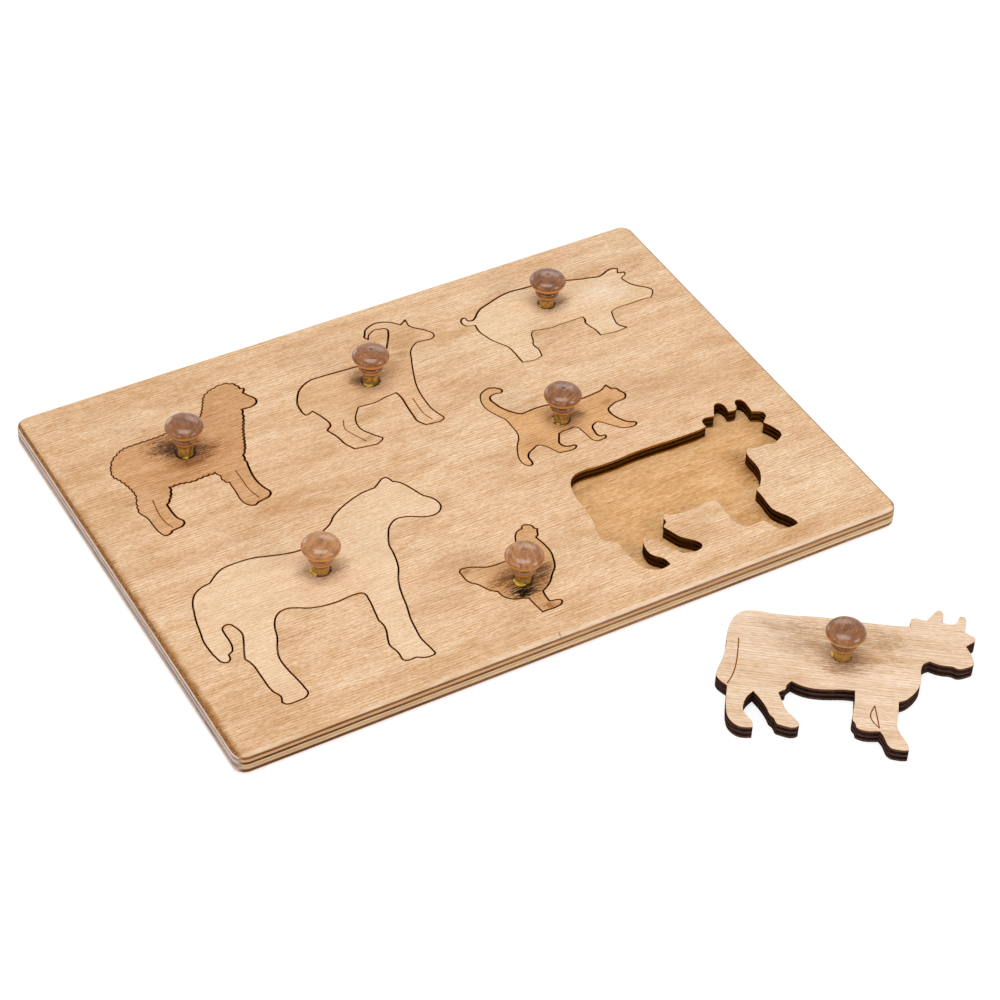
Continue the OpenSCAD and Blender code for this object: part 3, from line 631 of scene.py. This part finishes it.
hen = {
    **animal, "node": "hen", "slot": "brown_plywood", "centre": (-9.05, -73.45, 4), "seed": 72.0,
    "pale": (0.70, 0.42, 0.205), "tan": (0.605, 0.335, 0.15), "brown": (0.465, 0.23, 0.085),
    "stains": [((-16, 8), (10, 8), 0.7, (0.72, 0.47, 0.26))],
    "knob": (0.5, 0), "proud": 0.0, "knobTone": 0.25, "glue": [(150, 262, 1.0)],
    "smudgesAndShade": [((1, -1), (22, 16), 0.8, ochre), ((1, 0), (18, 14), 0.65, grimeAndShade),
                ((-3, -6.5), (11, 7), 0.9, sootAndShade), ((-3, -6), (8, 5), 0.9, sootAndShade),
                ((10, 1), (10, 7), 0.55, sootAndShade), ((2, -17.5), (6, 3.5), 0.9, grimeAndShade),
                ((-9, 3), (10, 6), 0.6, grimeAndShade), ((-17.5, 14), (3.5, 1.8), 0.7, grimeAndShade)],
}
cow = {
    **animal, "node": "cow", "slot": "pale_plywood", "centre": (84, -165.8, 0), "turn": -36.0, "seed": 88.0,
    "pale": (0.85, 0.65, 0.49), "tan": (0.775, 0.565, 0.395), "brown": (0.645, 0.415, 0.235),
    "stainShare": 0.3, "grain": [((110, 9, 30), 1.5, 1.0), ((90, 2.4, 30), 0.2, 0.0)],
    "fibre": [((60.0, 0.60, 30), 0.24, 0.0), ((10.0, 0.50, 30), 0.26, 0.0), ((2.0, 0.36, 30), 0.4, 0.0)],
    "fibreShare": 1.0, "lineShare": 0.75, "openFrom": (-200.0, 200.0), "hole": 3.7,
    "wall": {"longGrain": (0.095, 0.050, 0.037), "endGrain": (0.014, 0.0065, 0.005),
             "facePly": (0.15, 0.070, 0.040)},
    "knob": (-2, 0), "proud": 0.6, "knobTone": 0.5, "footStain": 0.25, "glue": [(118, 165, 0.95)],
    "smudgesAndShade": [((0, 6), (44, 22), 0.6, ochre), ((-2, -6), (17, 9), 0.5, grimeAndShade),
                ((-12, 4), (16, 7), 0.4, grimeAndShade), ((7, -2), (12, 6), 0.4, grimeAndShade),
                ((14, 10), (14, 7), 0.45, grimeAndShade), ((-24, 14), (24, 7), 0.4, grimeAndShade)],
}
animals = [sheep, goat, pig, cat, horse, hen, cow]

for look in animals:
    topZ = (look["centre"][2] + look["thick"]) * mm
    cut = cutSheet(look["node"], look["node"] + "Piece", look, topZ, lambda co: True)
    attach(cut, look["node"] + "_piece")
    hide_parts(look["node"])
print("animals made:", len(animals))

# Turned knobs

knob = {
    # radius and height above the animal's face, from the tenon's end up to the lathe's centre mark
    "side": [(3.4, -5.4), (3.4, -4.9), (3.4, 0.0), (3.4, 3.6), (3.45, 4.3), (4.1, 4.65), (4.9, 5.3),
             (5.25, 6.2), (5.25, 7.0), (4.95, 7.8), (4.3, 8.25), (4.25, 8.5), (5.0, 9.0), (6.3, 9.8),
             (7.4, 10.8), (7.95, 11.8), (8.05, 12.5), (7.85, 13.3), (7.0, 14.4), (5.4, 15.2),
             (3.2, 15.7), (1.3, 15.9), (0.6, 15.88), (0.4, 15.72), (0.2, 15.6)],
    "steps": 48, "merge": 1e-6, "smoothLevels": 2,
    "light": (0.53, 0.25, 0.095), "middle": (0.285, 0.098, 0.024), "dark": (0.060, 0.021, 0.008),
    # glow: painted bounce light from the board, on the cap's underside and the bead's bottom; groove: painted
    # shade in the neck under the cap and at the top of the foot
    "glow": (0.85, 0.36, 0.075), "groove": (0.030, 0.012, 0.005),
    "foot": (0.60, 0.32, 0.072), "footDark": (0.17, 0.075, 0.014),
    "turnStep": 31,  # degrees for each step of the seed, so that no two knobs face the same way
    "wander": noiseLayer((4.5, 4.5, 12), 0.0, 2.0, 0.5), "ringWander": 14.0,
    "ringPhase": 4.2, "ringShare": 0.06,
    "mottle": noiseLayer((4.0, 2.2, 6.0), 2.7, 3.0, 0.6), "mottleSwing": 1.15,
    "streak": noiseLayer((7.0, 0.45, 7.0), 4.1, 2.0, 0.6), "streakSwing": 0.7,
    "blotch": noiseLayer((1.6, 1.6, 2.6), 8.3, 3.0, 0.6), "blotchEdge": (0.42, 0.60),
    "toneRise": 0.035, "toneStart": 0.42,
    # heights over which each band of the turning, of the painted bounce light and of the painted shade comes
    # in and goes out
    "capUnderBounce": ((8.6, 9.6), (13.0, 12.0)), "beadUnderBounce": ((4.3, 4.6), (6.7, 5.9)),
    "bead": ((4.4, 4.8), (9.0, 8.4)), "beadShare": 0.2,
    # painted shade in the neck between cap and bead
    "neckShadeBand": ((7.6, 8.1), (9.3, 8.6)), "neckShadeShare": 0.9,
    "paintedBounceShare": 0.9, "paintedBounceLoss": 0.25,
    "footEdge": (4.8, 4.2), "footShade": (2.4, 4.4, 0.0, 0.7),
    "markReach": (1.6, 0.4), "markHeight": (13.0, 14.0), "markShare": 0.5,
    "bump": {"Strength": 0.05, "Distance": 0.0001},
    "roughness": 0.45, "specular": 0.05, "varnish": 0.9, "varnishRoughness": 0.20,
}


def knobWood(tree, place, height, outward, streak, look):
    wander = calc(tree, "MULTIPLY", addNoise(tree, place, look["seed"], knob["wander"]), knob["ringWander"])
    rings = calc(tree, "SINE", calc(tree, "MULTIPLY_ADD", outward, knob["ringPhase"], wander))
    mottle = swing(tree, addNoise(tree, place, look["seed"], knob["mottle"]), knob["mottleSwing"])
    tone = calc(tree, "MULTIPLY_ADD", height, knob["toneRise"], look["knobTone"] - knob["toneStart"])
    tone = calc(tree, "ADD", tone, mottle)
    tone = calc(tree, "ADD", tone, swing(tree, streak, knob["streakSwing"]))
    tone = calc(tree, "MULTIPLY_ADD", rings, knob["ringShare"], tone)
    return rampColour(tree, tone, [(0.0, knob["light"]), (0.5, knob["middle"]), (1.0, knob["dark"])])


def footWood(tree, place, height, look):
    blotch = addNoise(tree, place, look["seed"], knob["blotch"])
    stained = fade(tree, blotch, *knob["blotchEdge"], 0.0, look["footStain"])
    wood = blendColour(tree, stained, knob["foot"], knob["footDark"])
    # painted shade at the top of the foot, under the bead
    return blendColour(tree, fade(tree, height, *knob["footShade"]), wood, knob["groove"])


def knobMaterial(name, centre, look):
    material, tree = newMaterial(name)
    place = ownPlace(tree, centre, knob["turnStep"] * look["seed"])
    height = splitXyz(tree, place)[2]
    outward = flatLength(tree, place)
    streak = addNoise(tree, place, look["seed"], knob["streak"])
    colour = knobWood(tree, place, height, outward, streak, look)
    bead = calc(tree, "MULTIPLY", band(tree, height, *knob["bead"]), knob["beadShare"])
    colour = blendColour(tree, bead, colour, knob["dark"])
    # painted bounce light: an orange glow under the cap and at the bottom of the bead
    rim = calc(tree, "MAXIMUM", band(tree, height, *knob["capUnderBounce"]), band(tree, height, *knob["beadUnderBounce"]))
    paintedBounceShare = knob["paintedBounceShare"] - knob["paintedBounceLoss"] * look["knobTone"]
    colour = blendColour(tree, calc(tree, "MULTIPLY", rim, paintedBounceShare), colour, knob["glow"])
    # painted shade in the neck under the cap
    groove = calc(tree, "MULTIPLY", band(tree, height, *knob["neckShadeBand"]), knob["neckShadeShare"])
    colour = blendColour(tree, groove, colour, knob["groove"])
    atFoot = fade(tree, height, *knob["footEdge"])
    colour = blendColour(tree, atFoot, colour, footWood(tree, place, height, look))
    mark = product(tree, fade(tree, outward, *knob["markReach"]), fade(tree, height, *knob["markHeight"]),
                   knob["markShare"])
    colour = blendColour(tree, mark, colour, knob["dark"])
    bump = addNode(tree, "ShaderNodeBump", {**knob["bump"], "Height": streak})
    closeMaterial(tree, {"Base Color": colour, "Roughness": knob["roughness"],
                         "Specular IOR Level": knob["specular"], "Coat Weight": knob["varnish"],
                         "Coat Roughness": knob["varnishRoughness"], "Normal": bump.outputs[0]})
    return material


def knobCentre(look):
    centre = Vector((*look["knob"], 0))
    centre.rotate(Matrix.Rotation(math.radians(look["turn"]), 3, "Z"))
    centre += Vector(look["centre"])
    centre.z += look["thick"]
    return centre


def smoothPiece(bm, name, material):
    for f in bm.faces:
        f.smooth = True
    piece = finishPiece(bm, name, material)
    smooth = piece.modifiers.new("smooth", "SUBSURF")
    smooth.levels = knob["smoothLevels"]
    smooth.render_levels = knob["smoothLevels"]
    return piece


def turnedKnob(look):
    centre = knobCentre(look) + Vector((0, 0, look["proud"]))
    bm = bmesh.new()
    chain = [bm.verts.new((0, 0, knob["side"][0][1] * mm))]
    chain += [bm.verts.new((r * mm, 0, z * mm)) for r, z in knob["side"]]
    chain += [bm.verts.new((0, 0, knob["side"][-1][1] * mm))]
    edges = [bm.edges.new(pair) for pair in zip(chain, chain[1:])]
    bmesh.ops.spin(bm, geom=chain + edges, cent=(0, 0, 0), axis=(0, 0, 1), angle=math.tau,
                   steps=knob["steps"], use_merge=True)
    bmesh.ops.remove_doubles(bm, verts=bm.verts[:], dist=knob["merge"])
    bmesh.ops.recalc_face_normals(bm, faces=bm.faces[:])
    bmesh.ops.translate(bm, verts=bm.verts[:], vec=centre * mm)
    name = look["node"] + "Knob"
    piece = smoothPiece(bm, name, knobMaterial(name + "Wood", centre, look))
    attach(piece, look["node"] + "_piece")
    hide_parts(look["node"] + "_knob")


for look in animals:
    turnedKnob(look)
print("knobs turned")

# Beads of glue squeezed out at the foot of each knob

glue = {
    "rings": 11, "sides": 10, "footRadius": 3.4,
    "outward": 0.35, "upward": 0.12,  # place of a bead's middle, as shares of its half width
    "thinnest": 0.06, "lumpSize": 0.22, "lumpTurns": 9,
    "clear": (0.88, 0.60, 0.03), "thickTone": (0.62, 0.36, 0.012),
    "cloudy": noiseLayer((1.2, 1.2, 1.2), 2.0, 3.0, 0.6), "cloudyEdge": (0.35, 0.65),
    "roughness": 0.18, "gloss": 0.4, "glossRoughness": 0.05,
}


def glueMaterial():
    material, tree = newMaterial("driedGlue")
    place = ownPlace(tree, (0, 0, 0), 0)
    cloudy = fade(tree, addNoise(tree, place, 0.0, glue["cloudy"]), *glue["cloudyEdge"])
    colour = blendColour(tree, cloudy, glue["clear"], glue["thickTone"])
    closeMaterial(tree, {"Base Color": colour, "Roughness": glue["roughness"],
                         "Coat Weight": glue["gloss"], "Coat Roughness": glue["glossRoughness"]})
    return material


def glueBead(bm, centre, start, end, width, seed):
    # a fat bow round the foot, given by its start and end angle and its half width
    reach = (glue["footRadius"] + glue["outward"] * width) * mm
    offset = Matrix.Translation((reach, 0, glue["upward"] * width * mm))
    last = glue["rings"] - 1
    loops = []
    for step in range(glue["rings"]):
        t = step / last
        lean = Matrix.Rotation(math.radians(start + (end - start) * t), 4, "Z")
        lump = 1 + glue["lumpSize"] * math.sin(glue["lumpTurns"] * t + seed)
        swell = max(glue["thinnest"], math.sqrt(math.sin(math.pi * t)) * lump)
        spot = Matrix.Translation(centre * mm) @ lean @ offset @ Matrix.Rotation(math.pi / 2, 4, "X")
        ring = bmesh.ops.create_circle(bm, cap_ends=step in (0, last), segments=glue["sides"],
                                       radius=width * swell * mm, matrix=spot)
        corners = set(ring["verts"])
        loops.append([e for e in bm.edges if e.verts[0] in corners and e.verts[1] in corners])
    for one, two in zip(loops, loops[1:]):
        bmesh.ops.bridge_loops(bm, edges=one + two)


def glueBeads(look, material):
    bm = bmesh.new()
    for start, end, width in look["glue"]:
        glueBead(bm, knobCentre(look), start, end, width, look["seed"])
    bmesh.ops.recalc_face_normals(bm, faces=bm.faces[:])
    piece = smoothPiece(bm, look["node"] + "Glue", material)
    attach(piece, look["node"] + "_piece")


driedGlue = glueMaterial()
for look in animals:
    glueBeads(look, driedGlue)
print("glue beads set")

# Floor, light and camera

studio = {
    "world": 0.24, "backdrop": 1.0,
    "floorSize": 6.0, "floorDrop": 0.0002,
    "paperGlow": 0.72, "paperShade": 0.38,  # as the camera sees it
    "paperBounce": 0.8,  # as it lights the puzzle
    # place, size and power of each softbox; the long side lies level in the picture
    "lamps": {
        "overhead": ((-0.10, -0.08, 1.5), (1.1, 0.8), 14.5),
        "leftSide": ((-1.2, 0.0, 0.55), (0.4, 0.4), 1.8),
        "frontLeft": ((-1.05, -0.62, 0.60), (0.3, 0.3), 1.8),
        "frontRight": ((0.62, -0.95, 0.62), (0.5, 0.4), 4.0),
        "behind": ((-0.25, 1.4, 0.3), (0.5, 0.4), 2.2),
        "backRight": ((0.85, 1.1, 0.85), (0.8, 0.5), 3.0),
    },
    "lens": 101.58, "sensor": 36.0, "clipStart": 0.01, "eye": (-0.43438, -0.75441, 0.78647),
    "right": (0.869826, -0.492216, 0.03355), "up": (0.311123, 0.600039, 0.736991),
    "ahead": (0.38289, 0.630616, -0.675069),
}


def grey(level):
    return (level, level, level, 1)


def pickSeen(tree, unseen, seen):
    # one shader for rays that the picture shows, another for those that only light the puzzle
    rays = addNode(tree, "ShaderNodeLightPath").outputs
    shown = calc(tree, "MAXIMUM", rays["Is Camera Ray"], rays["Is Glossy Ray"])
    shown = calc(tree, "MAXIMUM", shown, rays["Is Transmission Ray"])
    return addNode(tree, "ShaderNodeMixShader", {0: shown, 1: unseen.outputs[0], 2: seen.outputs[0]})


world = bpy.data.worlds.new("studioWorld")
scene.world = world
world.use_nodes = True
worldTree = world.node_tree
worldTree.nodes.clear()
dome = addNode(worldTree, "ShaderNodeBackground", {"Color": grey(1), "Strength": studio["world"]})
white = addNode(worldTree, "ShaderNodeBackground", {"Color": grey(1), "Strength": studio["backdrop"]})
worldOut = addNode(worldTree, "ShaderNodeOutputWorld")
worldTree.links.new(pickSeen(worldTree, dome, white).outputs[0], worldOut.inputs[0])

floorMaterial, floorTree = newMaterial("floorPaper")
paper = addNode(floorTree, "ShaderNodeBsdfDiffuse", {"Color": grey(studio["paperShade"])})
glow = addNode(floorTree, "ShaderNodeEmission", {"Color": grey(1), "Strength": studio["paperGlow"]})
lit = addNode(floorTree, "ShaderNodeAddShader", {0: paper.outputs[0], 1: glow.outputs[0]})
plain = addNode(floorTree, "ShaderNodeBsdfDiffuse", {"Color": grey(studio["paperBounce"])})
floorOut = addNode(floorTree, "ShaderNodeOutputMaterial")
floorTree.links.new(pickSeen(floorTree, plain, lit).outputs[0], floorOut.inputs[0])
bm = bmesh.new()
bmesh.ops.create_grid(bm, x_segments=1, y_segments=1, size=studio["floorSize"] / 2)
bmesh.ops.translate(bm, verts=bm.verts[:], vec=(0, 0, -studio["floorDrop"]))
floor = finishPiece(bm, "floor", floorMaterial)

right = Vector(studio["right"])
for name, (place, size, power) in studio["lamps"].items():
    lampData = bpy.data.lights.new(name, "AREA")
    lampData.shape = "RECTANGLE"
    lampData.size, lampData.size_y = size
    lampData.energy = power
    back = Vector(place).normalized()  # every lamp looks at the origin
    across = (right - right.dot(back) * back).normalized()
    lampAxes = Matrix((across, back.cross(across), back)).transposed()
    lamp = bpy.data.objects.new(name, lampData)
    lamp.matrix_world = Matrix.Translation(place) @ lampAxes.to_4x4()
    scene.collection.objects.link(lamp)

cameraData = bpy.data.cameras.new("photoCamera")
cameraData.sensor_width = studio["sensor"]
cameraData.lens = studio["lens"]
cameraData.clip_start = studio["clipStart"]
camera = bpy.data.objects.new("photoCamera", cameraData)
cameraAxes = Matrix((right, studio["up"], -Vector(studio["ahead"]))).transposed()
camera.matrix_world = Matrix.Translation(studio["eye"]) @ cameraAxes.to_4x4()
scene.collection.objects.link(camera)
scene.camera = camera
scene.view_settings.view_transform = "Standard"
print("studio set")
